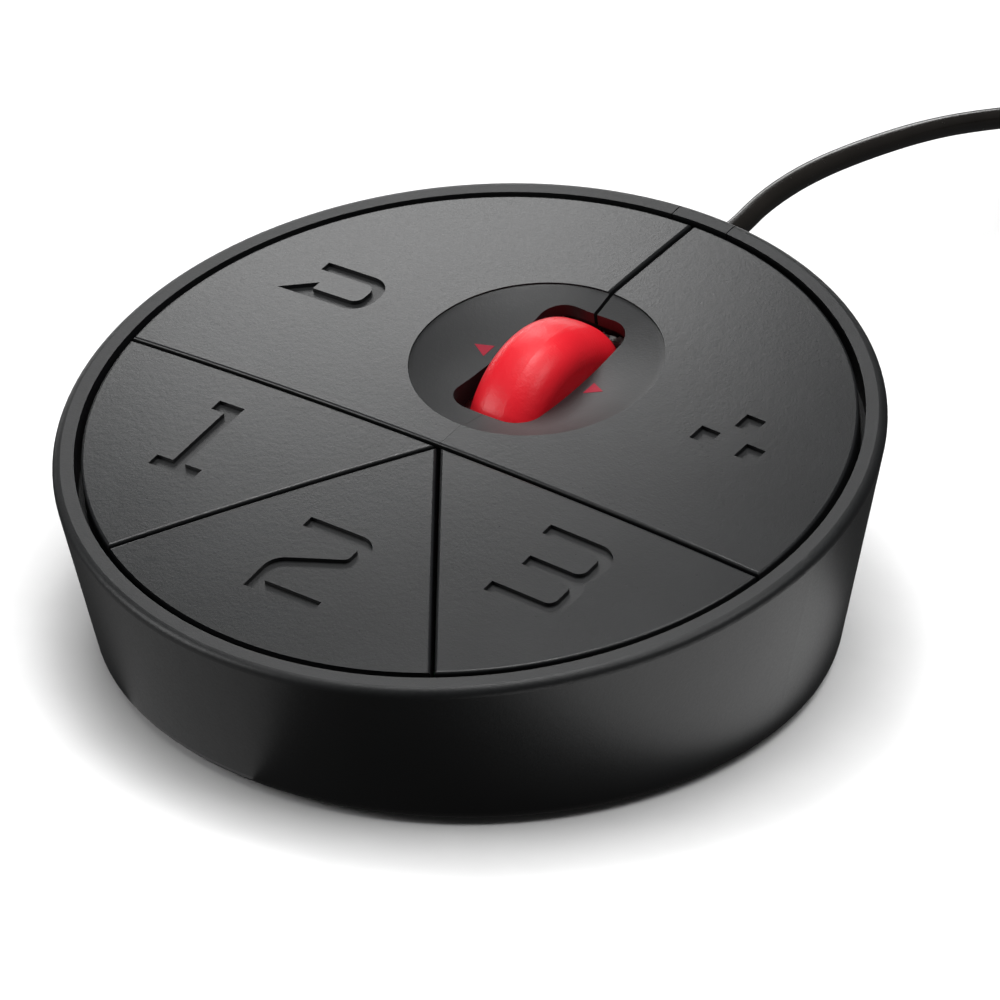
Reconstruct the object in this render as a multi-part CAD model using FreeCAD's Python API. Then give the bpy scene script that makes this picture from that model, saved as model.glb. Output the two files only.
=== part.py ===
import FreeCAD, Part
import math
import os
from FreeCAD import Placement, Rotation, Vector

# Wired desk-top control puck: a flared round housing with a sloping crowned top,
# five hinged keys, a soft-tyred scroll wheel that turns and clicks down, and a cord.
# Frame: origin on the surface under the middle of the puck, +Z up, +Y to the rear,
# where the cord leaves, +X to the right. Millimetres throughout.
# "Top frame": origin at the middle of the rim circle, tilted about X with the rim.

os.makedirs("parts", exist_ok=True)

# ---------------------------------------------------------------- housing
RIM_R = 40.0            # outer radius of the rim circle
FLARE = 4.3             # how much narrower the wall is at its foot
RIM_H = 21.9            # height of the middle of the rim circle
TOP_TILT = 7.9          # slope of the top, rear higher, degrees
WALL = 2.2              # wall thickness
RIM_EDGE = 0.8          # rounding of the rim's outer edge
FOOT_EDGE = 1.5         # rounding of the wall's lower edge
FOOT_LIFT = 0.5         # wall's foot above the surface
RIM_LIP = 2.24          # width of the rim around the bore that the keys sit in
WELL_DEPTH = 4.5        # depth of that bore below the rim
WALL_LEAN = 0.25        # how far the wall closes in per mm below the rim

# ---------------------------------------------------------------- keys
RING_GAP = 0.70         # gap between keys and rim
KEY_GAP = 0.40          # gap between neighbouring keys
NECK_GAP = 0.03         # hairline where the two upper keys meet before the wheel
CHORD_Y = -4.8          # straight gap across the top
SPOKE_ANGLE = 34.9      # angle of the two gaps beside key 2, from -Y
CROWN = 1.2             # rise of the crowned top above the rim plane
CROWN_OVER = 0.34       # the crown meets the rim plane this far outside the keys
KEY_EDGE = 0.26         # rounding of the keys' upper edges
SKIN_Z = -1.2           # underside of the keys' plate
SKIRT_Z = -3.0          # lower edge of the keys' skirts
SKIRT_T = 1.4           # skirt thickness
MARK_DEPTH = 0.45       # depth of the sunk marks
MARK_W = 1.43           # stroke width of the numerals

# ---------------------------------------------------------------- dish and wheel
DISH_Y = 11.15
DISH_R = 12.34
DISH_STEP = 0.18        # step at the edge of the dish
DISH_SAG = 1.65         # hollow of the dish inside that step
DISH_BOSS_Z = -2.6      # underside of the keys below the dish
SLOT_Y = 11.5
SLOT_SIDE_GAP = 0.98    # between the wheel and the sides of its slot
SLOT_END_GAP = 1.82     # between the wheel and the ends of its slot at the rim plane
SLOT_CORNER = 2.6
WHEEL_Y = 11.6
WHEEL_Z = -6.85
WHEEL_R = 10.1
WHEEL_W = 7.6
WHEEL_ROOM = 0.8        # room between the tread and whatever is around it
ROOM_TOP = -1.3         # that room reaches up to here inside the keys
WHEEL_CROWN_R = 10.0    # radius of the tyre's crown across its width
WHEEL_SHOULDER = 3.0    # rounding of the tyre's shoulders
TYRE_T = 2.6            # tyre thickness at the middle
TYRE_LIP = 3.0          # the tyre's sides reach this far further in
TYRE_LIP_T = 1.2        # and are this thick
AXLE_R = 1.0
RUN_FIT = 0.05          # radial clearance of every shaft in its bore

# ---------------------------------------------------------------- hinges and travel
ROD_R = 0.7
ROD_Z = -5.6
UPPER_ROD_Y = CHORD_Y + 1.75
LOWER_ROD_Y = CHORD_Y - 2.6
ROD_INSET = 5.26        # the rods' ends lie this far inside the keys' bore
LUG_R = 1.4
LUG_T = 2.0
BRACKET_INSET = 1.5     # outer brackets, in from the rods' ends
BRACKET_GAP = 2.9       # inner brackets, out from the wheel carrier's arms
SHORT_BRACKET_X = 4.2   # brackets on each side of key 2's eye
UPPER_LUG_INSET = 3.0   # the upper keys' outer eyes, in from the outer brackets
UPPER_LUG_GAP = 3.5     # and their inner eyes, out from the inner brackets
LOWER_LUG_INSET = 4.0
LOWER_LUG_GAP = 3.0
SWITCH_ARM = 15.0       # distance from a key's rod to its switch
UPPER_SWITCH_X = 21.0
LOWER_SWITCH_X = 20.5

# ---------------------------------------------------------------- inside
PCB_TOP = -8.5
PCB_T = 1.6
PCB_INSET = 1.2         # the board's edge, in from the deck's
DECK_T = 2.0
DECK_OVER = 0.3         # the deck's edge beyond the wall's inner foot, under the wider wall
SWITCH_SIDE = 6.0
SWITCH_H = 3.4
PLUNGER_UP = 0.84       # how far a plunger stands out of its switch
PLUNGER_R = 1.7
PLUNGER_FIT = 0.08
PUSHER_INSET = 0.1      # a key's pusher is this much slimmer than the plunger
PUSH_GAP = 0.06         # play between a key's pusher and its plunger
WHEEL_SWITCH_H = 2.0
WHEEL_PLUNGER_R = 1.5
ARM_GAP = 1.1           # between the wheel and the arms of its carrier
ARM_T = 2.2
CARRIER_TOP = -4.4
CARRIER_BOTTOM = -9.0
BAR_GAP = 0.9           # between the wheel and the carrier's rear bar
BAR_T = 1.8
WHEEL_SWITCH_GAP = 3.55  # from the bar to the middle of the wheel's switch
TONGUE_OVER = 2.2       # the carrier's tongue reaches this far past that middle
ENCODER_T = 4.1
PLATE_Z0 = 0.6
PLATE_Z1 = 2.6
PLATE_GAP = 0.5         # between the base plate and the wall
FOOT_INSET = 0.6        # the foot ring's groove, in from the plate's edge
FOOT_W = 2.8
FOOT_T = 1.2
POST_R = 3.0
POST_INSET = 0.6        # the posts stand this far inside the foot ring
SCREW_R = 1.0
SCREW_HEAD_R = 2.25
BALLAST_GAP = 1.0       # between the ballast and the posts
BALLAST_T = 2.8
RIB_T = 2.4
RIB_OVERLAP = 2.6       # how far the wall's ribs reach over the base plate
HEADER_INSET = 2.6      # the cord's header, in from the board's rear edge
LEAD_R = 0.28
LEAD_GAP = 0.6          # between the leads and the carrier's tongue

# ---------------------------------------------------------------- cord
CORD_R = 1.1
INSERT_X = 0.35         # middle of the rear insert
INSERT_W = 6.6
INSERT_BELOW = 4.6      # the insert's lower edge, below the middle of the cord
INSERT_SEAM = 0.12
GLAND_WALL = 0.45       # the bush's rubber around the cord
FLANGE_WIDE = 1.0       # the bush's flange around the cord
FLANGE_T = 0.85
NOSE_LEN = 2.0          # tapered strain relief outside the flange
NOSE_TIP = 0.3          # its rubber around the cord at the tip
NOSE_FIT = 0.12         # room for the cord as it starts to bend
CORD_EXIT_UP = 1.0      # the cord leaves this far above the middle of the rim circle
CORD_LAY = 1.5          # height of the cord where it lies down
# each point of the free cord: to the right, behind the rim's radius, drop below the exit
CORD_RUN = [
    (0.0, -5.0, 0.0), (0.0, 3.6, 0.0), (-1.5, 10.8, 0.3), (-2.3, 20.0, 1.4),
    (-2.5, 31.0, 3.7), (-2.9, 43.0, 7.1), (-3.1, 55.0, 11.5), (-2.4, 67.0, 16.1),
    (-0.9, 79.0, 19.7), (1.2, 91.0, 21.3), (3.2, 102.5, 21.4),
]
COIL_X = 17.5           # the coil's middle, and how far it lies behind the rim's radius
COIL_BEHIND = 110.0
COIL_MEAN_R = 12.1      # middle of the turns
COIL_ROWS = 3           # turns side by side
COIL_LAYERS = 4
COIL_LIFT = 0.4         # the tie's thickness under the coil
TIE_GAP = 0.12          # between the coil and its tie
TIE_W = 4.0
# each point of the tail: to the right, behind the rim's radius, height
TAIL_RUN = [
    (16.9, 126.2, 7.9), (24.0, 129.4, 6.2), (31.2, 131.0, 3.6), (38.2, 130.6, 3.0), (46.6, 128.8, 3.0),
]
PLUG_BODY = (15.0, 9.6, 6.0)
PLUG_SHELL = (6.8, 6.9, 1.9)
PLUG_SHELL_T = 0.35
PLUG_NOSE = 4.4

# ---------------------------------------------------------------- places that follow from these
TOP = Placement(Vector(0, 0, RIM_H), Rotation(Vector(1, 0, 0), TOP_TILT))
BASE_R = RIM_R - FLARE
WELL_R = RIM_R - RIM_LIP
KEY_R = WELL_R - RING_GAP
CROWN_R = KEY_R + CROWN_OVER
WELL_FLOOR_R = RIM_R - WALL_LEAN * WELL_DEPTH - WALL
SLOT_W = WHEEL_W + 2 * SLOT_SIDE_GAP
SLOT_L = 2 * (math.sqrt(WHEEL_R ** 2 - WHEEL_Z ** 2) + SLOT_END_GAP)
ARM_IN = WHEEL_W / 2 + ARM_GAP
ARM_OUT = ARM_IN + ARM_T
BAR_Y = WHEEL_Y + WHEEL_R + BAR_GAP
WHEEL_SWITCH_Y = BAR_Y + BAR_T + WHEEL_SWITCH_GAP
TONGUE_END = WHEEL_SWITCH_Y + TONGUE_OVER
DECK_TOP = PCB_TOP - PCB_T
DECK_BOTTOM = DECK_TOP - DECK_T
DECK_R = BASE_R - WALL + DECK_OVER
PCB_R = DECK_R - PCB_INSET
PLUNGER_TOP = PCB_TOP + SWITCH_H + PLUNGER_UP
WHEEL_PLUNGER_TOP = PCB_TOP + WHEEL_SWITCH_H + PLUNGER_UP
ROD_END = WELL_R - ROD_INSET
BRACKET_OUT = ROD_END - BRACKET_INSET
BRACKET_IN = ARM_OUT + BRACKET_GAP
PLATE_R = BASE_R - WALL - PLATE_GAP
FOOT_OUT = PLATE_R - FOOT_INSET
FOOT_IN = FOOT_OUT - FOOT_W
POST_PITCH_R = FOOT_IN - POST_INSET - POST_R
BALLAST_R = POST_PITCH_R - POST_R - BALLAST_GAP
GLAND_R = CORD_R + GLAND_WALL
CORD_EXIT_Z = RIM_H + CORD_EXIT_UP
DROP_SCALE = (CORD_EXIT_Z - CORD_LAY) / CORD_RUN[-1][2]
CORD_ROUTE = [(x, RIM_R + behind, CORD_EXIT_Z - drop * DROP_SCALE) for x, behind, drop in CORD_RUN]
TAIL_ROUTE = [(x, RIM_R + behind, height) for x, behind, height in TAIL_RUN]
COIL_CENTRE = (COIL_X, RIM_R + COIL_BEHIND)
COIL_W = 2 * CORD_R * COIL_ROWS
COIL_H = 2 * CORD_R * COIL_LAYERS
FAR = 60.0


# ---------------------------------------------------------------- helpers
def save(name, shape):
    shape.exportStep("parts/" + name + ".step")
    print("%-20s solids %d  volume %9.2f  valid %s"
          % (name, len(shape.Solids), shape.Volume, shape.isValid()))


def in_top(shape):
    """Move a shape drawn in the top frame to its place in the puck."""
    placed = shape.copy()
    placed.Placement = TOP.multiply(placed.Placement)
    return placed


def box(x0, x1, y0, y1, z0, z1):
    return Part.makeBox(x1 - x0, y1 - y0, z1 - z0, Vector(x0, y0, z0))


def disc(radius, z0, z1, x=0.0, y=0.0):
    return Part.makeCylinder(radius, z1 - z0, Vector(x, y, z0))


def rod_x(radius, x0, x1, y, z):
    return Part.makeCylinder(radius, x1 - x0, Vector(x0, y, z), Vector(1, 0, 0))


def rod_y(radius, y0, y1, x, z):
    return Part.makeCylinder(radius, y1 - y0, Vector(x, y0, z), Vector(0, 1, 0))


def prism(points, z0, z1):
    """Upright solid on a polygon of (x, y) points."""
    ring = [Vector(x, y, z0) for x, y in points]
    face = Part.Face(Part.makePolygon(ring + ring[:1]))
    return face.extrude(Vector(0, 0, z1 - z0))


def rounded_slot(x, y, width, length, corner, z0, z1):
    """Upright solid on a rounded rectangle."""
    slab = box(x - width / 2, x + width / 2, y - length / 2, y + length / 2, z0, z1)
    upright = [e for e in slab.Edges if abs(e.Vertexes[0].Z - e.Vertexes[1].Z) > 0.1]
    return slab.makeFillet(corner, upright)


def rounded_path(points, radius=None):
    """Straight runs joined by tangent arcs, as one wire, with the list of arc radii.

    With no radius given, each arc is as large as its two runs allow.
    """
    nodes = [Vector(*p) for p in points]
    edges = []
    radii = []
    start = nodes[0]
    for before, corner, after in zip(nodes, nodes[1:], nodes[2:]):
        arrive = corner.sub(before)
        leave = after.sub(corner)
        half = arrive.getAngle(leave) / 2
        bend = radius or 0.45 * min(arrive.Length, leave.Length) / math.tan(half)
        cut = bend * math.tan(half)
        arrive.normalize()
        leave.normalize()
        first = corner.sub(arrive.multiply(cut))
        last = corner.add(leave.multiply(cut))
        inward = first.add(last).multiply(0.5).sub(corner)
        reach = bend / math.cos(half) - bend
        inward.normalize()
        middle = corner.add(inward.multiply(reach))
        edges.append(Part.LineSegment(start, first).toShape())
        edges.append(Part.Arc(first, middle, last).toShape())
        radii.append(bend)
        start = last
    edges.append(Part.LineSegment(start, nodes[-1]).toShape())
    return Part.Wire(edges), radii


def tube(name, points, radius):
    """Solid round tube along a rounded path."""
    path, radii = rounded_path(points)
    start = Vector(*points[0])
    heading = Vector(*points[1]).sub(start)
    ring = Part.Wire(Part.makeCircle(radius, start, heading))
    solid = path.makePipeShell([ring], True, False)
    expected = math.pi * radius ** 2 * path.Length
    print("%s length %.1f, volume ratio %.4f" % (name, path.Length, solid.Volume / expected))
    print("%s radii %s" % (name, ", ".join("%.1f" % r for r in radii)))
    return solid


def joined(first, *others):
    shape = first.fuse(list(others)) if others else first
    return shape.removeSplitter()


# ---------------------------------------------------------------- crowned top
BALL_R = (CROWN_R ** 2 + CROWN ** 2) / (2 * CROWN)
BALL_CENTRE = Vector(0, 0, CROWN - BALL_R)


def crown_ball(sunk=0.0):
    """Ball whose top is the crowned surface of the keys, or a copy sunk below it."""
    ball = Part.makeSphere(BALL_R - sunk)
    ball.Placement = Placement(BALL_CENTRE, Rotation(Vector(1, 0, 0), 90))
    return ball


def dish_tool():
    """Solid that hollows the dish, square to the crowned surface."""
    over_edge = DISH_R ** 2 / (2 * BALL_R)
    depth = over_edge + DISH_STEP + DISH_SAG
    bowl_r = (DISH_R ** 2 + DISH_SAG ** 2) / (2 * DISH_SAG)
    rise = math.asin(DISH_Y / BALL_R)
    out = Vector(0, math.sin(rise), math.cos(rise))
    surface = BALL_CENTRE.add(Vector(out).multiply(BALL_R))
    bowl = Part.makeSphere(bowl_r)
    bowl.Placement = Placement(surface.add(Vector(out).multiply(bowl_r - depth)),
                               Rotation(Vector(1, 0, 0), 90))
    foot = surface.sub(Vector(out).multiply(depth + 1))
    return Part.makeCylinder(DISH_R, depth + 4, foot, out).common(bowl)


def wheel_space():
    """Space that the wheel needs around it."""
    return rod_x(WHEEL_R + WHEEL_ROOM, -SLOT_W / 2, SLOT_W / 2, WHEEL_Y, WHEEL_Z)


def key_outline(which, inset):
    """Corner points of a key before the round outside is cut, moved in by inset."""
    edge = KEY_GAP / 2 + inset
    chord = CHORD_Y + edge
    if which == "return":
        neck = -NECK_GAP / 2 - inset
        return [(-FAR, chord), (neck, chord), (neck, SLOT_Y), (-edge, SLOT_Y), (-edge, FAR), (-FAR, FAR)]
    if which == "menu":
        return [(-x, y) for x, y in key_outline("return", inset)]
    lean = math.radians(SPOKE_ANGLE)
    down = (math.sin(lean) * 2 * FAR, math.cos(lean) * 2 * FAR)
    if which == "2":
        tip = CHORD_Y - edge / math.sin(lean)
        return [(0, tip), (-down[0], tip - down[1]), (down[0], tip - down[1])]
    along = edge * (1 + math.sin(lean)) / math.cos(lean)
    corner = (-edge * math.cos(lean) - along * math.sin(lean), CHORD_Y - edge)
    side = [corner, (-FAR, corner[1]), (-FAR, corner[1] - down[1]),
            (corner[0] - down[0], corner[1] - down[1])]
    return side if which == "1" else [(-x, y) for x, y in side]


def key_block(which, inset, z0, z1):
    return prism(key_outline(which, inset), z0, z1).common(disc(KEY_R - inset, z0, z1))


def key_blank(which):
    """Crowned outer block of a key with its upper edges rounded."""
    twin = {"menu": "return", "3": "1"}.get(which)
    if twin:
        return key_blank(twin).mirror(Vector(0, 0, 0), Vector(1, 0, 0))
    blank = key_block(which, 0, SKIRT_Z, CROWN + 1).common(crown_ball())
    return blank.makeFillet(KEY_EDGE, crown_edges(blank))


def crown_edges(shape):
    """Edges of the crowned face, leaving out the hairline at the neck."""
    crown = max(shape.Faces, key=lambda face: face.CenterOfMass.z)
    return [e for e in crown.Edges if abs(e.CenterOfMass.x) > NECK_GAP or e.CenterOfMass.y > SLOT_Y]


# ---------------------------------------------------------------- sunk marks
def stroke(points, width, bend):
    """Upright wall of constant width along a rounded centreline."""
    nodes = [(x, y, 0.0) for x, y in points]
    path, _ = rounded_path(nodes, bend)
    start = Vector(*nodes[0])
    heading = Vector(*nodes[1]).sub(start)
    heading.normalize()
    side = Vector(-heading.y, heading.x, 0).multiply(width / 2)
    low, high = Vector(0, 0, -3), Vector(0, 0, 3)
    corners = [start.add(side).add(low), start.sub(side).add(low),
               start.sub(side).add(high), start.add(side).add(high)]
    profile = Part.makePolygon(corners + corners[:1])
    return path.makePipeShell([profile], True, False)


def mark_tool(which):
    """Solid of one mark, cut off at the depth of the sunk floor."""
    if which == "1":
        tool = joined(box(-22.8, -19.82, -10.53, -9.1, -3, 3),
                      box(-19.82 - MARK_W, -19.82, -19.3, -9.1, -3, 3),
                      box(-23.15, -17.8, -20.05, -18.62, -3, 3))
    elif which == "2":
        sweep = stroke([(-4.2, -20.14), (3.33, -20.14), (3.33, -23.35), (-3.33, -26.4), (-3.33, -30.4)],
                       MARK_W, 1.5)
        tool = joined(sweep, box(-4.04, 4.03, -30.45, -29.02, -3, 3))
    elif which == "3":
        upper = stroke([(16.2, -9.82), (23.8, -9.82), (23.8, -14.48), (17.15, -14.48)], MARK_W, 1.7)
        lower = stroke([(17.15, -14.48), (23.8, -14.48), (23.8, -19.28), (16.2, -19.28)], MARK_W, 1.7)
        tool = joined(upper, lower)
    elif which == "return":
        sweep = stroke([(-27.07, 13.55), (-19.75, 13.55), (-19.75, 9.27), (-26.0, 9.27)], 1.32, 1.7)
        tool = joined(sweep, prism([(-29.2, 8.6), (-25.85, 8.6), (-25.85, 11.05)], -3, 3))
    else:
        half = 1.08
        spots = [(23.4, 13.3), (20.8, 9.55), (25.95, 9.55)]
        tool = Part.makeCompound([box(x - half, x + half, y - half, y + half, -3, 3) for x, y in spots])
    return tool.cut(crown_ball(MARK_DEPTH))


# ---------------------------------------------------------------- keys
def lug(x, rod_y_at):
    """Eye that hangs from a key's plate around its hinge rod."""
    x0, x1 = x - LUG_T / 2, x + LUG_T / 2
    web = box(x0, x1, rod_y_at - LUG_R, rod_y_at + LUG_R, ROD_Z, SKIN_Z + 0.2)
    return joined(rod_x(LUG_R, x0, x1, rod_y_at, ROD_Z), web)


def pusher(x, y):
    return disc(PLUNGER_R - PUSHER_INSET, PLUNGER_TOP + PUSH_GAP, SKIN_Z + 0.2, x, y)


def key(which, lug_places, rod_y_at, push_at):
    """One key: crowned plate, skirt, two hinge eyes and the pusher over its switch."""
    hollow = key_block(which, SKIRT_T, SKIRT_Z - 1, SKIN_Z)
    upper = which in ("return", "menu")
    if upper:
        hollow = hollow.cut(disc(DISH_R + 1.6, DISH_BOSS_Z, SKIN_Z + 1, 0, DISH_Y))
    body = key_blank(which).cut(hollow)
    if upper:
        cord_way = box(-3.2, 3.2, CROWN_R - 5.0, FAR, SKIRT_Z - 1, SKIN_Z)
        opening = rounded_slot(0, SLOT_Y, SLOT_W, SLOT_L, SLOT_CORNER, -6, 6)
        room = wheel_space().common(disc(FAR, -FAR, ROOM_TOP))
        body = body.cut([dish_tool(), opening, cord_way, room])
    body = joined(body, *([lug(x, rod_y_at) for x in lug_places] + [pusher(*push_at)]))
    bore = rod_x(ROD_R + RUN_FIT, -FAR, FAR, rod_y_at, ROD_Z)
    return body.cut([bore, mark_tool(which)])


def key_2():
    """The middle key: its single eye is narrower than the others' spread allows."""
    x0, x1 = -1.3, 1.3
    web = box(x0, x1, LOWER_ROD_Y - LUG_R, LOWER_ROD_Y + LUG_R, SKIRT_Z - 0.4, 0)
    neck = web.common(key_block("2", 0, SKIRT_Z - 1, 0))
    hanger = box(x0, x1, LOWER_ROD_Y - LUG_R, LOWER_ROD_Y + LUG_R, ROD_Z, SKIRT_Z - 0.4)
    eye = rod_x(LUG_R, x0, x1, LOWER_ROD_Y, ROD_Z)
    body = key_blank("2").cut(key_block("2", SKIRT_T, SKIRT_Z - 1, SKIN_Z))
    body = joined(body, neck, hanger, eye, pusher(0, LOWER_ROD_Y - SWITCH_ARM))
    bore = rod_x(ROD_R + RUN_FIT, -FAR, FAR, LOWER_ROD_Y, ROD_Z)
    return body.cut([bore, mark_tool("2")])


# ---------------------------------------------------------------- housing
def flare(low_r, low_z, high_r, high_z):
    """Solid between a level circle and a circle parallel to the rim."""
    low = Part.Wire(Part.makeCircle(low_r, Vector(0, 0, low_z)))
    high = Part.Wire(Part.makeCircle(high_r, Vector(0, 0, high_z)))
    high.Placement = TOP
    return Part.makeLoft([low, high], True, True)


def end_ring(shape, pick):
    """The highest or lowest round edge of a shape, for pick max or min."""
    return pick([e for e in shape.Edges if e.isClosed()], key=lambda e: e.CenterOfMass.z)


def cavity(grow, top_z):
    """Inside of the wall, from its foot up to a height in the top frame."""
    return flare(BASE_R - WALL + grow, FOOT_LIFT - 0.2, WELL_FLOOR_R + grow, top_z)


def wall_ring():
    """The whole flared wall, before the rear notch is cut."""
    outside = flare(BASE_R, FOOT_LIFT, RIM_R, 0)
    outside = outside.makeFillet(RIM_EDGE, [end_ring(outside, max)])
    outside = outside.makeFillet(FOOT_EDGE, [end_ring(outside, min)])
    well = in_top(disc(WELL_R, -WELL_DEPTH, 3))
    inside = cavity(0, -WELL_DEPTH).fuse(disc(BASE_R - WALL, -1, FOOT_LIFT))
    return outside.cut([well, inside])


def exit_place():
    """Where the cord's line meets the wall's outer face at the rear."""
    rear = TOP.multVec(Vector(0, RIM_R, 0))
    share = (CORD_EXIT_Z - FOOT_LIFT) / (rear.z - FOOT_LIFT)
    return Vector(0, BASE_R + share * (rear.y - BASE_R), CORD_EXIT_Z)


def notch(clear):
    x0 = INSERT_X - INSERT_W / 2 - clear
    x1 = INSERT_X + INSERT_W / 2 + clear
    low = TOP.inverse().multVec(exit_place()).z - INSERT_BELOW
    return in_top(box(x0, x1, WELL_R - 8, RIM_R + 8, low - clear, 5))


def clamp_ribs():
    """Three ribs of the wall that are held between the base plate and the deck."""
    ribs = []
    under_deck = in_top(disc(FAR, DECK_BOTTOM - 30, DECK_BOTTOM))
    hollow = cavity(0.3, -WELL_DEPTH)
    for angle in (30, 150, 270):
        rib = box(PLATE_R - RIB_OVERLAP, RIM_R, -RIB_T / 2, RIB_T / 2, PLATE_Z1, FAR)
        rib.rotate(Vector(0, 0, 0), Vector(0, 0, 1), angle)
        ribs.append(rib.common(hollow).common(under_deck))
    return ribs


def outer_shell():
    return wall_ring().cut(notch(0)).fuse(clamp_ribs())


def rear_insert():
    tile = wall_ring().common(notch(-INSERT_SEAM))
    return tile.cut(rod_y(GLAND_R + RUN_FIT, 0, FAR, 0, CORD_EXIT_Z))


def cord_gland():
    """Rubber bush in the insert: tapered nose, flange, neck and the anchor inside the wall."""
    face = exit_place().y + 0.49
    tip = face + FLANGE_T + NOSE_LEN
    flange_r = CORD_R + FLANGE_WIDE
    neck = rod_y(GLAND_R, face - 4.0, face + 0.1, 0, CORD_EXIT_Z)
    flange = rod_y(flange_r, face, face + FLANGE_T, 0, CORD_EXIT_Z)
    flange = flange.makeFillet(0.25, [e for e in flange.Edges if e.isClosed()])
    nose = Part.makeCone(GLAND_R + 0.3, CORD_R + NOSE_TIP, NOSE_LEN + 0.2,
                         Vector(0, tip - NOSE_LEN - 0.2, CORD_EXIT_Z), Vector(0, 1, 0))
    anchor = box(-2.2, 2.2, face - 4.45, face - 3.65, CORD_EXIT_Z - 2.8, CORD_EXIT_Z + GLAND_R - 0.25)
    bush = joined(neck, flange, nose, anchor)
    mouth = rod_y(CORD_R + NOSE_FIT, face, tip + 1, 0, CORD_EXIT_Z)
    return bush.cut([rod_y(CORD_R + RUN_FIT, 0, FAR, 0, CORD_EXIT_Z), mouth])


def post_places():
    for angle in (90, 210, 330):
        turn = math.radians(angle)
        yield POST_PITCH_R * math.cos(turn), POST_PITCH_R * math.sin(turn)


def base_plate():
    plate = disc(PLATE_R, PLATE_Z0, PLATE_Z1)
    groove = disc(FOOT_OUT, -1, FOOT_T).cut(disc(FOOT_IN, -2, FOOT_T + 1))
    plate = plate.cut(groove)
    for x, y in post_places():
        hole = disc(SCREW_R + RUN_FIT, 0, 4, x, y)
        sink = Part.makeCone(SCREW_HEAD_R + RUN_FIT, SCREW_R + RUN_FIT, 1.3, Vector(x, y, PLATE_Z0))
        plate = plate.cut([hole, sink])
    return plate


def foot_ring():
    return disc(FOOT_OUT, 0, FOOT_T).cut(disc(FOOT_IN, -1, FOOT_T + 1))


def ballast():
    weight = disc(BALLAST_R, PLATE_Z1, PLATE_Z1 + BALLAST_T)
    weight = weight.makeChamfer(0.5, [end_ring(weight, max)])
    return weight.cut(in_top(wheel_space()))


def base_screws():
    screws = []
    for x, y in post_places():
        head = Part.makeCone(SCREW_HEAD_R, SCREW_R, 1.25, Vector(x, y, PLATE_Z0 + 0.05))
        head = head.cut(box(x - 1.3, x + 1.3, y - 0.22, y + 0.22, 0, PLATE_Z0 + 0.55))
        head = head.cut(box(x - 0.22, x + 0.22, y - 1.3, y + 1.3, 0, PLATE_Z0 + 0.55))
        screws.append(joined(head, disc(SCREW_R, PLATE_Z0 + 1.0, 7.0, x, y)))
    return Part.makeCompound(screws)


def brackets():
    """Middles of the rod brackets, and whether each is one of the short pair."""
    for side in (-1, 1):
        yield side * BRACKET_OUT, False
        yield side * BRACKET_IN, False
        yield side * SHORT_BRACKET_X, True


def bracket_box(x, short, grow, z0, z1):
    """Upright plate that holds the hinge rods; the short ones hold only the lower rod."""
    rear = LOWER_ROD_Y + 1.5 if short else UPPER_ROD_Y + 1.6
    half = 0.6 if short else 0.9
    return box(x - half - grow, x + half + grow, LOWER_ROD_Y - 1.6 - grow, rear + grow, z0, z1)


def chassis():
    """Deck with its rod brackets and the three posts down to the base plate."""
    deck = disc(DECK_R, DECK_BOTTOM, DECK_TOP)
    opening = rounded_slot(0, WHEEL_Y, WHEEL_W + 3.0, 2 * WHEEL_R + 2.4, 2.0, DECK_BOTTOM - 1, DECK_TOP + 1)
    uprights = [bracket_box(x, short, 0, DECK_TOP - 0.5, ROD_Z + 1.7) for x, short in brackets()]
    deck = joined(deck.cut(opening), *uprights)
    deck = deck.cut([rod_x(ROD_R, -FAR, FAR, y, ROD_Z) for y in (UPPER_ROD_Y, LOWER_ROD_Y)])
    for x, y in PCB_SCREWS:
        deck = deck.cut(disc(0.8, DECK_BOTTOM - 1, DECK_TOP + 1, x, y))
    body = in_top(deck)
    below = in_top(disc(FAR, DECK_BOTTOM - 40, DECK_BOTTOM + 0.5))
    clear = in_top(wheel_space())
    posts = [disc(POST_R, PLATE_Z1, 30, x, y).common(below).cut(clear) for x, y in post_places()]
    body = joined(body, *posts)
    holes = [disc(SCREW_R, PLATE_Z1 - 1, 7.2, x, y) for x, y in post_places()]
    return body.cut(holes)


def hinge_rod(y):
    return rod_x(ROD_R, -ROD_END, ROD_END, y, ROD_Z)


# ---------------------------------------------------------------- electronics
PCB_SCREWS = [(-15.0, -16.0), (15.0, -16.0), (-15.0, 22.0), (15.0, 22.0)]


def main_pcb():
    board = disc(PCB_R, PCB_TOP - PCB_T, PCB_TOP)
    opening = box(-ARM_OUT - 0.8, ARM_OUT + 0.8, -5.2, BAR_Y + BAR_T + 0.5, -20, 0)
    encoder_bay = box(0, ARM_OUT + ENCODER_T + 0.6, WHEEL_Y - 4.7, WHEEL_Y + 4.7, -20, 0)
    slots = [bracket_box(x, short, 0.3, -20, 0) for x, short in brackets()]
    holes = [disc(0.9, -20, 0, x, y) for x, y in PCB_SCREWS]
    return board.cut([opening, encoder_bay] + slots + holes)


def pcb_screws():
    screws = []
    for x, y in PCB_SCREWS:
        head = disc(1.6, PCB_TOP, PCB_TOP + 1.1, x, y)
        head = head.cut(box(x - 1.1, x + 1.1, y - 0.2, y + 0.2, PCB_TOP + 0.6, 0))
        screws.append(joined(head, disc(0.8, DECK_BOTTOM + 0.2, PCB_TOP + 0.1, x, y)))
    return Part.makeCompound(screws)


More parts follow.
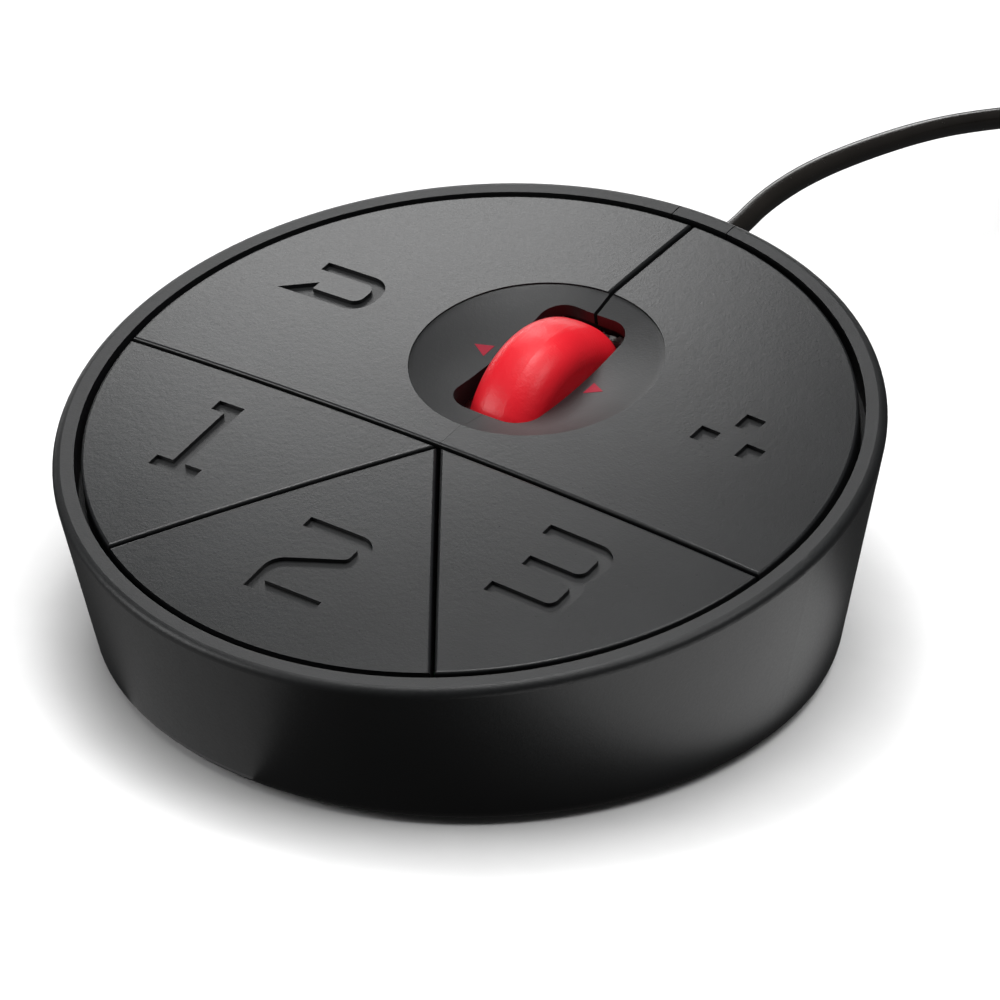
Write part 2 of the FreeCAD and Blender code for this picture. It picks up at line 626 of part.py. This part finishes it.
def switch_case(x, y, height, plunger_r):
    """Square tactile switch with four metal-foot notches and the plunger's well."""
    half = SWITCH_SIDE / 2
    case = box(x - half, x + half, y - half, y + half, PCB_TOP, PCB_TOP + height)
    upright = [e for e in case.Edges if abs(e.Vertexes[0].Z - e.Vertexes[1].Z) > 0.1]
    case = case.makeChamfer(0.5, upright)
    return case.cut(disc(plunger_r + PLUNGER_FIT, PCB_TOP + 0.8, 0, x, y))


def plunger(x, y, top, radius):
    """Button of a switch, with room below it for its travel."""
    return disc(radius, PCB_TOP + 1.5, top, x, y)


def header():
    """Small board connector that the cord's leads plug into."""
    rear = PCB_R - HEADER_INSET
    block = box(6.0, 12.0, rear - 3.4, rear, PCB_TOP, PCB_TOP + 3.4)
    return block.cut(box(6.6, 11.4, rear - 2.6, rear + 1, PCB_TOP + 0.8, PCB_TOP + 2.8))


def lead_wires():
    """Four thin leads from the end of the cord's jacket into the header."""
    end = TOP.inverse().multVec(Vector(*CORD_ROUTE[0]))
    wires = []
    for i in range(4):
        spread = (i % 2 - 0.5) * 0.8
        level = (i // 2 - 0.5) * 0.8
        x = 7.2 + 1.2 * i
        mouth = PCB_TOP + 1.8
        rear = PCB_R - HEADER_INSET
        turn_y = max(end.y - 2.6 - 0.3 * i, TONGUE_END + LEAD_R + LEAD_GAP)
        points = [Vector(end.x + spread, end.y - 0.25, end.z + level),
                  Vector(end.x + spread, end.y - 1.0, end.z + level - 0.4),
                  Vector(end.x + 2.6 + spread, turn_y, mouth + 1.2 + level),
                  Vector(x, rear + 1.8 + 0.1 * i, mouth + 0.3),
                  Vector(x, rear - 0.8, mouth), Vector(x, rear - 2.1, mouth)]
        path = Part.makePolygon(points)
        ring = Part.Wire(Part.makeCircle(LEAD_R, points[0], points[1].sub(points[0])))
        wires.append(path.makePipeShell([ring], True, False, 2))
    return Part.makeCompound(wires)


# ---------------------------------------------------------------- wheel
def tyre_half_section():
    """Outer profile of the tyre from its middle to its side, as (arc, arc) with corners."""
    half = WHEEL_W / 2
    crown_z = WHEEL_R - WHEEL_CROWN_R
    shoulder_x = half - WHEEL_SHOULDER
    shoulder_r = crown_z + math.sqrt((WHEEL_CROWN_R - WHEEL_SHOULDER) ** 2 - shoulder_x ** 2)
    turn = math.atan2(shoulder_x, shoulder_r - crown_z)
    meet = (WHEEL_CROWN_R * math.sin(turn), crown_z + WHEEL_CROWN_R * math.cos(turn))
    middle = (turn + math.pi / 2) / 2
    knee = (shoulder_x + WHEEL_SHOULDER * math.sin(middle), shoulder_r + WHEEL_SHOULDER * math.cos(middle))
    return meet, knee, (half, shoulder_r)


def wheel_tyre():
    """Soft tyre: a ring with a crowned tread and rounded shoulders."""
    meet, knee, side = tyre_half_section()
    inner = WHEEL_R - TYRE_T

    def at(x, r):
        return Vector(x, 0, r)

    wide, narrow = side[0], side[0] - TYRE_LIP_T
    lip_r = inner - TYRE_LIP
    sides = [at(*side), at(wide, lip_r), at(narrow, lip_r), at(narrow, inner),
             at(-narrow, inner), at(-narrow, lip_r), at(-wide, lip_r), at(-wide, side[1])]
    edges = [
        Part.Arc(at(-meet[0], meet[1]), at(0, WHEEL_R), at(*meet)).toShape(),
        Part.Arc(at(*meet), at(*knee), at(*side)).toShape(),
    ]
    edges += [Part.LineSegment(a, b).toShape() for a, b in zip(sides, sides[1:])]
    edges.append(Part.Arc(at(-wide, side[1]), at(-knee[0], knee[1]), at(-meet[0], meet[1])).toShape())
    ring = Part.Face(Part.Wire(edges)).revolve(Vector(0, 0, 0), Vector(1, 0, 0), 360)
    ring.translate(Vector(0, WHEEL_Y, WHEEL_Z))
    return ring


def wheel_hub():
    """Spoked plastic core inside the tyre."""
    half = WHEEL_W / 2
    inner = WHEEL_R - TYRE_T
    y, z = WHEEL_Y, WHEEL_Z
    lip_r = inner - TYRE_LIP
    core = joined(rod_x(inner, TYRE_LIP_T - half, half - TYRE_LIP_T, y, z), rod_x(lip_r, -half, half, y, z))
    for side in (-1, 1):
        x0, x1 = sorted((side * 1.2, side * (half + 1)))
        core = core.cut(rod_x(lip_r - 0.8, x0, x1, y, z).cut(rod_x(2.2, -9, 9, y, z)))
    for i in range(6):
        web = box(-half + 0.6, half - 0.6, -0.5, 0.5, 1.8, lip_r - 0.4)
        web.rotate(Vector(0, 0, 0), Vector(1, 0, 0), 60 * i)
        web.translate(Vector(0, y, z))
        core = core.fuse(web)
    return core.removeSplitter().cut(rod_x(AXLE_R, -9, 9, y, z))


def wheel_axle():
    return rod_x(AXLE_R, -ARM_OUT - 0.5, ARM_OUT + ENCODER_T - 1.1, WHEEL_Y, WHEEL_Z)


def wheel_carrier():
    """U-shaped cradle: two arms on the upper rod, a rear bar and the switch tongue."""
    arms = []
    for side in (-1, 1):
        x0, x1 = sorted((side * ARM_IN, side * ARM_OUT))
        arms.append(box(x0, x1, UPPER_ROD_Y, BAR_Y + BAR_T, CARRIER_BOTTOM + 1.2, CARRIER_TOP))
        arms.append(box(x0, x1, WHEEL_Y - 3.0, WHEEL_Y + 3.0, CARRIER_BOTTOM, CARRIER_TOP))
        arms.append(rod_x(LUG_R + 0.2, x0, x1, UPPER_ROD_Y, ROD_Z))
    bar = box(-ARM_OUT, ARM_OUT, BAR_Y, BAR_Y + BAR_T, CARRIER_BOTTOM + 1.2, CARRIER_TOP)
    tongue = box(-2.6, 2.6, BAR_Y + 1.4, TONGUE_END, WHEEL_PLUNGER_TOP + PUSH_GAP, CARRIER_TOP)
    cradle = joined(arms[0], *(arms[1:] + [bar, tongue]))
    return cradle.cut([rod_x(AXLE_R + RUN_FIT, -20, 20, WHEEL_Y, WHEEL_Z),
                       rod_x(ROD_R + RUN_FIT, -20, 20, UPPER_ROD_Y, ROD_Z)])


def encoder():
    """Rotary encoder on the carrier's right arm."""
    half = 4.0
    low = CARRIER_BOTTOM - 0.4
    case = box(ARM_OUT, ARM_OUT + ENCODER_T, WHEEL_Y - half, WHEEL_Y + half, low, CARRIER_TOP)
    upright = [e for e in case.Edges if abs(e.Vertexes[0].Z - e.Vertexes[1].Z) > 0.1]
    case = case.makeChamfer(0.4, upright)
    return case.cut(rod_x(AXLE_R + RUN_FIT, ARM_OUT - 1, ARM_OUT + ENCODER_T - 0.9, WHEEL_Y, WHEEL_Z))


# ---------------------------------------------------------------- cord and plug
def cord_coil():
    """Outer shape of the wound spare cord."""
    x, y = COIL_CENTRE
    ring = disc(COIL_MEAN_R + COIL_W / 2, COIL_LIFT, COIL_LIFT + COIL_H, x, y)
    ring = ring.cut(disc(COIL_MEAN_R - COIL_W / 2, COIL_LIFT - 1, COIL_LIFT + COIL_H + 1, x, y))
    return ring.makeFillet(CORD_R, [e for e in ring.Edges if e.isClosed()])


def coil_tie():
    """Flat tie around the coil on its right side."""
    x, y = COIL_CENTRE
    band, half = COIL_LIFT - TIE_GAP, TIE_W / 2
    y0 = y + COIL_MEAN_R - COIL_W / 2 - 0.5
    y1 = y + COIL_MEAN_R + COIL_W / 2 + TIE_GAP
    z0, z1 = COIL_LIFT - TIE_GAP, COIL_LIFT + COIL_H + TIE_GAP
    outer = box(x - half, x + half, y0 - band, y1 + band, z0 - band, z1 + band)
    tie = outer.cut(box(x - half - 1, x + half + 1, y0, y1, z0, z1))
    tie.rotate(Vector(x, y, 0), Vector(0, 0, 1), -90)
    return tie


def plug_frame():
    """Placement of the plug: local +X points from the cord to the plug's mouth."""
    end = Vector(*TAIL_ROUTE[-1])
    before = Vector(*TAIL_ROUTE[-2])
    turn = math.degrees(math.atan2(end.y - before.y, end.x - before.x))
    return Placement(Vector(end.x, end.y, PLUG_BODY[2] / 2), Rotation(Vector(0, 0, 1), turn))


def plug_body():
    length, width, height = PLUG_BODY
    block = box(0, length, -width / 2, width / 2, -height / 2, height / 2)
    along = [e for e in block.Edges if abs(e.Vertexes[0].X - e.Vertexes[1].X) > 1]
    block = block.makeFillet(1.4, along)
    nose = Part.makeCone(1.9, 2.8, PLUG_NOSE + 0.6, Vector(-PLUG_NOSE, 0, 0), Vector(1, 0, 0))
    grips = [box(3.0 + 2.0 * i, 3.8 + 2.0 * i, -3.2, 3.2, height / 2 - 0.4, height) for i in range(4)]
    body = joined(block, nose).cut(grips)
    body = body.cut(Part.makeCylinder(CORD_R + RUN_FIT, 5.05, Vector(-5, 0, 0), Vector(1, 0, 0)))
    body.Placement = plug_frame()
    return body


def plug_shell():
    length, width, height = PLUG_SHELL
    x0 = PLUG_BODY[0]
    sleeve = box(x0, x0 + length, -width / 2, width / 2, -height / 2, height / 2)
    along = [e for e in sleeve.Edges if abs(e.Vertexes[0].X - e.Vertexes[1].X) > 1]
    sleeve = sleeve.makeFillet(0.6, along)
    t = PLUG_SHELL_T
    mouth = box(x0 + 1.2, x0 + length + 1, -width / 2 + t, width / 2 - t, -height / 2 + t, height / 2 - t)
    tongue = box(x0 + 1.0, x0 + length - 0.8, -2.3, 2.3, -0.3, 0.15)
    shell = joined(sleeve.cut(mouth), tongue)
    shell.Placement = plug_frame()
    return shell


# ---------------------------------------------------------------- build
def build_all():
    upper_push = UPPER_ROD_Y + SWITCH_ARM
    lower_push = LOWER_ROD_Y - SWITCH_ARM
    places = [("return", -UPPER_SWITCH_X, upper_push), ("menu", UPPER_SWITCH_X, upper_push),
              ("1", -LOWER_SWITCH_X, lower_push), ("2", 0.0, lower_push), ("3", LOWER_SWITCH_X, lower_push)]

    save("outer_shell", outer_shell())
    save("rear_insert", rear_insert())
    save("cord_gland", cord_gland())
    save("base_plate", base_plate())
    save("foot_ring", foot_ring())
    save("ballast", ballast())
    save("base_screws", base_screws())
    save("chassis", chassis())
    save("hinge_rod_upper", in_top(hinge_rod(UPPER_ROD_Y)))
    save("hinge_rod_lower", in_top(hinge_rod(LOWER_ROD_Y)))
    save("main_pcb", in_top(main_pcb()))
    save("pcb_screws", in_top(pcb_screws()))
    save("header", in_top(header()))
    save("lead_wires", in_top(lead_wires()))

    upper_eyes = (BRACKET_OUT - UPPER_LUG_INSET, BRACKET_IN + UPPER_LUG_GAP)
    lower_eyes = (BRACKET_OUT - LOWER_LUG_INSET, BRACKET_IN + LOWER_LUG_GAP)
    save("key_return", in_top(key("return", [-x for x in upper_eyes], UPPER_ROD_Y, places[0][1:])))
    save("key_menu", in_top(key("menu", upper_eyes, UPPER_ROD_Y, places[1][1:])))
    save("key_1", in_top(key("1", [-x for x in lower_eyes], LOWER_ROD_Y, places[2][1:])))
    save("key_2", in_top(key_2()))
    save("key_3", in_top(key("3", lower_eyes, LOWER_ROD_Y, places[4][1:])))
    for name, x, y in places:
        save("switch_" + name, in_top(switch_case(x, y, SWITCH_H, PLUNGER_R)))
        save("plunger_" + name, in_top(plunger(x, y, PLUNGER_TOP, PLUNGER_R)))
    save("switch_wheel", in_top(switch_case(0, WHEEL_SWITCH_Y, WHEEL_SWITCH_H, WHEEL_PLUNGER_R)))
    save("plunger_wheel", in_top(plunger(0, WHEEL_SWITCH_Y, WHEEL_PLUNGER_TOP, WHEEL_PLUNGER_R)))

    save("wheel_tyre", in_top(wheel_tyre()))
    save("wheel_hub", in_top(wheel_hub()))
    save("wheel_axle", in_top(wheel_axle()))
    save("wheel_carrier", in_top(wheel_carrier()))
    save("encoder", in_top(encoder()))

    save("cord_tube", tube("cord_tube", CORD_ROUTE, CORD_R))
    save("cord_coil", cord_coil())
    save("cord_tail", tube("cord_tail", TAIL_ROUTE, CORD_R))
    save("coil_tie", coil_tie())
    save("plug_body", plug_body())
    save("plug_shell", plug_shell())


build_all()
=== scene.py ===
import math

import bpy
from mathutils import Matrix, Vector


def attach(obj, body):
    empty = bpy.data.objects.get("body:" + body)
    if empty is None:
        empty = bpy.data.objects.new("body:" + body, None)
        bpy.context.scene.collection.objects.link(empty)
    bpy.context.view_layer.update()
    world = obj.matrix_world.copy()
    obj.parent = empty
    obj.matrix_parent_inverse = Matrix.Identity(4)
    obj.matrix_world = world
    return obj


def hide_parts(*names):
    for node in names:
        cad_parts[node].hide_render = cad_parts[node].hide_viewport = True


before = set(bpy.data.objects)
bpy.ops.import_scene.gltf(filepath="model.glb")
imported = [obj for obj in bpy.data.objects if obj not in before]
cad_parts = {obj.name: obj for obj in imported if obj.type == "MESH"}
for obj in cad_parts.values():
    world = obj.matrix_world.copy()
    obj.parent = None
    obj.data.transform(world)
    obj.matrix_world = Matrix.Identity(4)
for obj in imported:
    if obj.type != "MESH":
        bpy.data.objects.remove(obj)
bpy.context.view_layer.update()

MM = 0.001

# ---------------------------------------------------------------- sizes shared with the CAD source, in mm
RIM_H = 21.9
TOP_TILT = math.radians(7.9)
CROWN = 1.2
CROWN_R = 37.4
DISH_Y = 11.15
DISH_R = 12.34
DISH_STEP = 0.18
DISH_SAG = 1.65
MARK_DEPTH = 0.45
CORD_D = 2.2
# the cord's points, as in the CAD source
CORD_ROUTE = [
    (0.0, 35.0, 22.9), (0.0, 43.6, 22.9), (-1.5, 50.8, 22.6), (-2.3, 60.0, 21.5),
    (-2.5, 71.0, 19.2), (-2.9, 83.0, 15.8), (-3.1, 95.0, 11.4), (-2.4, 107.0, 6.8),
    (-0.9, 119.0, 3.2), (1.2, 131.0, 1.6), (3.2, 142.5, 1.5),
]
TAIL_ROUTE = [
    (16.9, 166.2, 7.9), (24.0, 169.4, 6.2), (31.2, 171.0, 3.6), (38.2, 170.6, 3.0), (46.6, 168.8, 3.0),
]
COIL_CENTRE = (17.5, 150.0)
COIL_LAYERS = 4
COIL_ROWS = (14.3, 12.1, 9.9)
COIL_LOW = 1.5
COIL_TURNS = 11 + 60 / 360
STEPS_PER_TURN = 16
CROSSING = 0.2          # part of a turn in which the cord crosses to the next row
POINTER_TIP_X = 7.58
POINTER_BASE_X = 5.87
POINTER_Y = 11.3
POINTER_HALF = 0.93     # half the height of the pointer's base
POINTER_PROUD = 0.03
POINTER_SUNK = 0.05
POINTER_STEPS = 6

# ---------------------------------------------------------------- sizes of the stage, in metres
CAMERA_PLACE = (0.5446687, -0.7423548, 0.5749614)
CAMERA_TURN = math.radians(36.085)
CAMERA_FORWARD = (-0.502966, 0.690110, -0.520359)
CAMERA_LENS = 407.14
FLOOR_SIDE = 6.0
PANEL_Z = 0.0012        # height of the panels that stand in for the floor's bounce
AIM = (0.0, 0.0, 0.015)
WHITE = (1.0, 1.0, 1.0)
CHARCOAL = (0.006, 0.0064, 0.0068)


# ---------------------------------------------------------------- camera and floor
def make_camera():
    data = bpy.data.cameras.new("camera")
    data.sensor_width = 36.0
    data.lens = CAMERA_LENS
    data.clip_start = 0.05
    data.clip_end = 20.0
    forward = Vector(CAMERA_FORWARD).normalized()
    right = Vector((math.cos(CAMERA_TURN), math.sin(CAMERA_TURN), 0.0))
    up = right.cross(forward)
    camera = bpy.data.objects.new("camera", data)
    axes = Matrix((right, up, -forward)).transposed().to_4x4()
    camera.matrix_world = Matrix.Translation(CAMERA_PLACE) @ axes
    bpy.context.scene.collection.objects.link(camera)
    bpy.context.scene.camera = camera


# ---------------------------------------------------------------- cord
def coil_points():
    """Turns of the put-away length, in, out, in and out again, one layer on another."""
    rows = []
    for layer in range(COIL_LAYERS):
        order = COIL_ROWS if layer % 2 == 0 else COIL_ROWS[::-1]
        rows += [(radius, COIL_LOW + CORD_D * layer) for radius in order]
    rows.append(rows[-1])
    swell = 1 / math.cos(math.pi / STEPS_PER_TURN)
    points = []
    for step in range(1, round(COIL_TURNS * STEPS_PER_TURN) + 1):
        turns = step / STEPS_PER_TURN
        row = min(int(turns), len(rows) - 2)
        blend = max(0.0, turns - row - 1 + CROSSING) / CROSSING
        blend = blend * blend * (3 - 2 * blend)
        radius = rows[row][0] + (rows[row + 1][0] - rows[row][0]) * blend
        level = rows[row][1] + (rows[row + 1][1] - rows[row][1]) * blend
        angle = math.pi - turns * 2 * math.pi
        points.append((COIL_CENTRE[0] + radius * swell * math.cos(angle),
                       COIL_CENTRE[1] + radius * swell * math.sin(angle), level))
    return points


def make_cord(material):
    points = CORD_ROUTE + coil_points() + TAIL_ROUTE
    curve = bpy.data.curves.new("cord", "CURVE")
    curve.dimensions = "3D"
    spline = curve.splines.new("NURBS")
    spline.points.add(len(points) - 1)
    for control, point in zip(spline.points, points):
        control.co = (point[0] * MM, point[1] * MM, point[2] * MM, 1.0)
    spline.order_u = 3
    spline.use_endpoint_u = True
    spline.resolution_u = 6
    curve.bevel_depth = CORD_D / 2 * MM
    curve.bevel_resolution = 5
    curve.use_fill_caps = True
    cord = bpy.data.objects.new("cord", curve)
    bpy.context.scene.collection.objects.link(cord)
    curve.materials.append(material)
    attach(cord, "housing")
    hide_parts("cord_tube", "cord_coil", "cord_tail")


# ---------------------------------------------------------------- materials
def new_material(name):
    material = bpy.data.materials.new(name)
    material.use_nodes = True
    nodes = material.node_tree.nodes
    shader = nodes["Principled BSDF"]
    place = nodes.new("ShaderNodeTexCoord")
    return material, nodes, material.node_tree.links, shader, place.outputs["Object"]


def noise(nodes, links, place, size_mm, detail=3.0, roughness=0.5, stretch=None):
    """Noise whose grains are about size_mm across."""
    texture = nodes.new("ShaderNodeTexNoise")
    texture.inputs["Scale"].default_value = 1000.0 / size_mm
    texture.inputs["Detail"].default_value = detail
    texture.inputs["Roughness"].default_value = roughness
    if stretch:
        mapping = nodes.new("ShaderNodeMapping")
        mapping.inputs["Scale"].default_value = stretch
        links.new(place, mapping.inputs["Vector"])
        place = mapping.outputs["Vector"]
    links.new(place, texture.inputs["Vector"])
    return texture.outputs["Fac"]


def ramp(nodes, links, factor, stops):
    node = nodes.new("ShaderNodeValToRGB")
    links.new(factor, node.inputs["Fac"])
    ends = node.color_ramp.elements
    while len(ends) < len(stops):
        ends.new(0.5)
    for element, (position, colour) in zip(ends, stops):
        element.position = position
        element.color = (*colour, 1.0)
    return node.outputs["Color"]


def span(nodes, links, factor, low, high):
    node = nodes.new("ShaderNodeMapRange")
    node.inputs["To Min"].default_value = low
    node.inputs["To Max"].default_value = high
    links.new(factor, node.inputs["Value"])
    return node.outputs["Result"]


def bump(nodes, links, height, depth_mm, strength=1.0, below=None):
    node = nodes.new("ShaderNodeBump")
    node.inputs["Distance"].default_value = depth_mm * MM
    node.inputs["Strength"].default_value = strength
    links.new(height, node.inputs["Height"])
    if below:
        links.new(below, node.inputs["Normal"])
    return node.outputs["Normal"]


def sunk_mask(nodes, links, place):
    """1 on anything sunk below the crowned top, such as the marks' floors and the dish, else 0."""
    ball_r = (CROWN_R ** 2 + CROWN ** 2) / (2 * CROWN)
    distance = nodes.new("ShaderNodeVectorMath")
    distance.operation = "DISTANCE"
    distance.inputs[1].default_value = on_top(0, 0, CROWN - ball_r)
    links.new(place, distance.inputs[0])
    node = nodes.new("ShaderNodeMapRange")
    node.inputs["From Min"].default_value = (ball_r - MARK_DEPTH * 0.8) * MM
    node.inputs["From Max"].default_value = (ball_r - MARK_DEPTH * 0.3) * MM
    node.inputs["To Min"].default_value = 1.0
    node.inputs["To Max"].default_value = 0.0
    links.new(distance.outputs["Value"], node.inputs["Value"])
    return node.outputs["Result"]


def moulded(name, colour, roughness, grain_mm, grain_depth, specular=0.5, spread=0.12, sunk_roughness=None):
    """Moulded plastic or rubber: spark-eroded grain, faint mottling and uneven gloss."""
    material, nodes, links, shader, place = new_material(name)
    cloud = noise(nodes, links, place, 6.0, 2.0)
    dark = tuple(c * (1 - spread) for c in colour)
    light = tuple(c * (1 + spread) for c in colour)
    links.new(ramp(nodes, links, cloud, [(0.35, dark), (0.65, light)]), shader.inputs["Base Color"])
    fine = noise(nodes, links, place, grain_mm, 2.0, 0.6)
    coarse = noise(nodes, links, place, grain_mm * 3.1, 2.0, 0.5)
    gloss = span(nodes, links, fine, roughness - 0.07, roughness + 0.07)
    if sunk_roughness:
        blend = nodes.new("ShaderNodeMapRange")
        links.new(sunk_mask(nodes, links, place), blend.inputs["Value"])
        links.new(gloss, blend.inputs["To Min"])
        blend.inputs["To Max"].default_value = sunk_roughness
        gloss = blend.outputs["Result"]
    links.new(gloss, shader.inputs["Roughness"])
    under = bump(nodes, links, coarse, grain_depth * 1.4, 0.6)
    links.new(bump(nodes, links, fine, grain_depth, 0.9, under), shader.inputs["Normal"])
    shader.inputs["Specular IOR Level"].default_value = specular
    return material


def metal(name, colour, roughness, streak):
    """Turned or drawn metal with fine tool lines along one axis."""
    material, nodes, links, shader, place = new_material(name)
    lines = noise(nodes, links, place, 0.6, 4.0, 0.6, streak)
    cloud = noise(nodes, links, place, 4.0, 3.0)
    dark = tuple(c * 0.8 for c in colour)
    links.new(ramp(nodes, links, cloud, [(0.3, dark), (0.7, colour)]), shader.inputs["Base Color"])
    links.new(span(nodes, links, lines, roughness * 0.75, roughness * 1.35), shader.inputs["Roughness"])
    links.new(bump(nodes, links, lines, 0.01, 0.5), shader.inputs["Normal"])
    shader.inputs["Metallic"].default_value = 1.0
    return material


def make_materials():
    return {
        "shell_plastic": moulded("shell_plastic", CHARCOAL, 0.46, 0.24, 0.011),
        "key_plastic": moulded("key_plastic", CHARCOAL, 0.31, 0.24, 0.011, sunk_roughness=0.42),
        "inner_plastic": moulded("inner_plastic", (0.010, 0.010, 0.011), 0.5, 0.4, 0.01),
        "white_plastic": moulded("white_plastic", (0.72, 0.72, 0.70), 0.35, 0.5, 0.006),
        "red_rubber": moulded("red_rubber", (0.54, 0.010, 0.018), 0.35, 0.20, 0.024, 0.4, 0.06),
        "foot_rubber": moulded("foot_rubber", (0.012, 0.012, 0.012), 0.75, 0.3, 0.02, 0.3),
        "gland_rubber": moulded("gland_rubber", (0.010, 0.010, 0.010), 0.5, 0.3, 0.01, 0.4),
        "steel": metal("steel", (0.62, 0.62, 0.63), 0.28, (0.15, 1.0, 1.0)),
        "ballast_iron": metal("ballast_iron", (0.34, 0.34, 0.35), 0.42, (1.0, 0.2, 1.0)),
        "board": moulded("board", (0.012, 0.10, 0.035), 0.32, 0.5, 0.01, 0.5, 0.2),
        "switch_case": moulded("switch_case", (0.012, 0.012, 0.013), 0.4, 0.3, 0.008),
        "cord_jacket": moulded("cord_jacket", (0.008, 0.007, 0.006), 0.24, 0.7, 0.006, 0.5),
        "mark_red": moulded("mark_red", (0.20, 0.003, 0.016), 0.5, 0.22, 0.006, 0.25),
        "floor": moulded("floor", (0.72, 0.72, 0.72), 0.9, 3.0, 0.01, 0.1, 0.01),
    }


# ---------------------------------------------------------------- stage
def area_light(name, place, size, power, target=AIM):
    data = bpy.data.lights.new(name, "AREA")
    data.shape = "RECTANGLE"
    data.size, data.size_y = size
    data.energy = power
    data.color = WHITE
    light = bpy.data.objects.new(name, data)
    aim = Vector(target) - Vector(place)
    light.matrix_world = Matrix.Translation(place) @ aim.to_track_quat("-Z", "Y").to_matrix().to_4x4()
    bpy.context.scene.collection.objects.link(light)
    return light


def floor_panel(name, x, y, size, power):
    """Upward light just over the floor, standing in for the floor's own bounce on the wall."""
    panel = area_light(name, (x, y, PANEL_Z), size, power, target=(x, y, PANEL_Z + 1.0))
    panel.visible_camera = False
    return panel


def make_stage(material):
    half = FLOOR_SIDE / 2
    corners = [(-half, -half, 0), (half, -half, 0), (half, half, 0), (-half, half, 0)]
    mesh = bpy.data.meshes.new("floor")
    mesh.from_pydata(corners, [], [(0, 1, 2, 3)])
    mesh.materials.append(material)
    floor = bpy.data.objects.new("floor", mesh)
    bpy.context.scene.collection.objects.link(floor)
    floor.visible_glossy = False
    floor.visible_diffuse = False
    area_light("key", (-0.223, 0.228, 0.232), (0.13, 0.13), 0.255)
    overhead = area_light("overhead", (0.10, 0.07, 1.1), (0.9, 0.9), 14.5)
    overhead.visible_glossy = False
    area_light("overhead_gloss", (0.0, 0.0, 1.1), (0.9, 0.9), 3.5)
    area_light("streak", (-0.05, 0.035, 0.32), (0.07, 0.07), 0.22)
    area_light("horizon", (-0.42, 0.42, 0.05), (0.6, 0.10), 0.7)
    area_light("left_front", (-0.12, -0.13, 0.09), (0.08, 0.08), 0.11, target=(0.0, 0.01, 0.02))
    area_light("right_high", (0.16, 0.02, 0.20), (0.10, 0.10), 0.12)
    floor_panel("right_panel", 0.060, -0.014, (0.045, 0.075), 0.0125)
    floor_panel("left_panel", -0.034, -0.062, (0.07, 0.06), 0.0047)
    world = bpy.data.worlds.new("studio")
    world.use_nodes = True
    world.node_tree.nodes["Background"].inputs["Color"].default_value = (*WHITE, 1.0)
    world.node_tree.nodes["Background"].inputs["Strength"].default_value = 0.06
    bpy.context.scene.world = world
    bpy.context.scene.view_settings.view_transform = "Standard"


# ---------------------------------------------------------------- surface places
def on_top(x, y, z):
    """Point given in the tilted top frame, in metres in the puck's frame."""
    return Vector((x * MM, (y * math.cos(TOP_TILT) - z * math.sin(TOP_TILT)) * MM,
                   (RIM_H + y * math.sin(TOP_TILT) + z * math.cos(TOP_TILT)) * MM))


def dish_height(x, y):
    """Height of the dish's surface above the rim plane, in the top frame."""
    ball_r = (CROWN_R ** 2 + CROWN ** 2) / (2 * CROWN)
    over_edge = DISH_R ** 2 / (2 * ball_r)
    depth = over_edge + DISH_STEP + DISH_SAG
    bowl_r = (DISH_R ** 2 + DISH_SAG ** 2) / (2 * DISH_SAG)
    rise = math.asin(DISH_Y / ball_r)
    out = Vector((0, math.sin(rise), math.cos(rise)))
    centre = Vector((0, 0, CROWN - ball_r)) + out * (ball_r + bowl_r - depth)
    return centre.z - math.sqrt(bowl_r ** 2 - (x - centre.x) ** 2 - (y - centre.y) ** 2)


def make_pointer(name, body, side, material):
    """Thin printed triangle on the dish, pointing away from the wheel."""
    steps = POINTER_STEPS
    corners = []
    for i in range(steps + 1):
        across = i / steps
        x = POINTER_BASE_X + (POINTER_TIP_X - POINTER_BASE_X) * across
        for j in range(steps + 1):
            corners.append((side * x, POINTER_Y + (j / steps * 2 - 1) * POINTER_HALF * (1 - across)))
    verts = []
    for lift in (POINTER_PROUD, -POINTER_SUNK):
        verts += [on_top(x, y, dish_height(x, y) + lift) for x, y in corners]
    row = steps + 1
    count = row * row
    faces = []
    for i in range(steps):
        for j in range(steps):
            a = i * row + j
            faces.append((a, a + 1, a + row + 1, a + row))
            faces.append((count + a, count + a + row, count + a + row + 1, count + a + 1))
    rim = list(range(row)) + [i * row + steps for i in range(1, row)]
    rim += [i * row for i in range(steps, 0, -1)]
    for a, b in zip(rim, rim[1:] + rim[:1]):
        faces.append((a, count + a, count + b, b))
    mesh = bpy.data.meshes.new(name)
    mesh.from_pydata(verts, [], faces)
    mesh.validate()
    mesh.materials.append(material)
    piece = bpy.data.objects.new(name, mesh)
    bpy.context.scene.collection.objects.link(piece)
    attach(piece, body)


# ---------------------------------------------------------------- build
make_camera()
MATERIALS = make_materials()
make_cord(MATERIALS["cord_jacket"])
make_stage(MATERIALS["floor"])
make_pointer("pointer_left", "key_return", -1, MATERIALS["mark_red"])
make_pointer("pointer_right", "key_menu", 1, MATERIALS["mark_red"])
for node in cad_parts.values():
    for used in node.material_slots:
        used.material = MATERIALS[used.material.name.split(".")[0]]
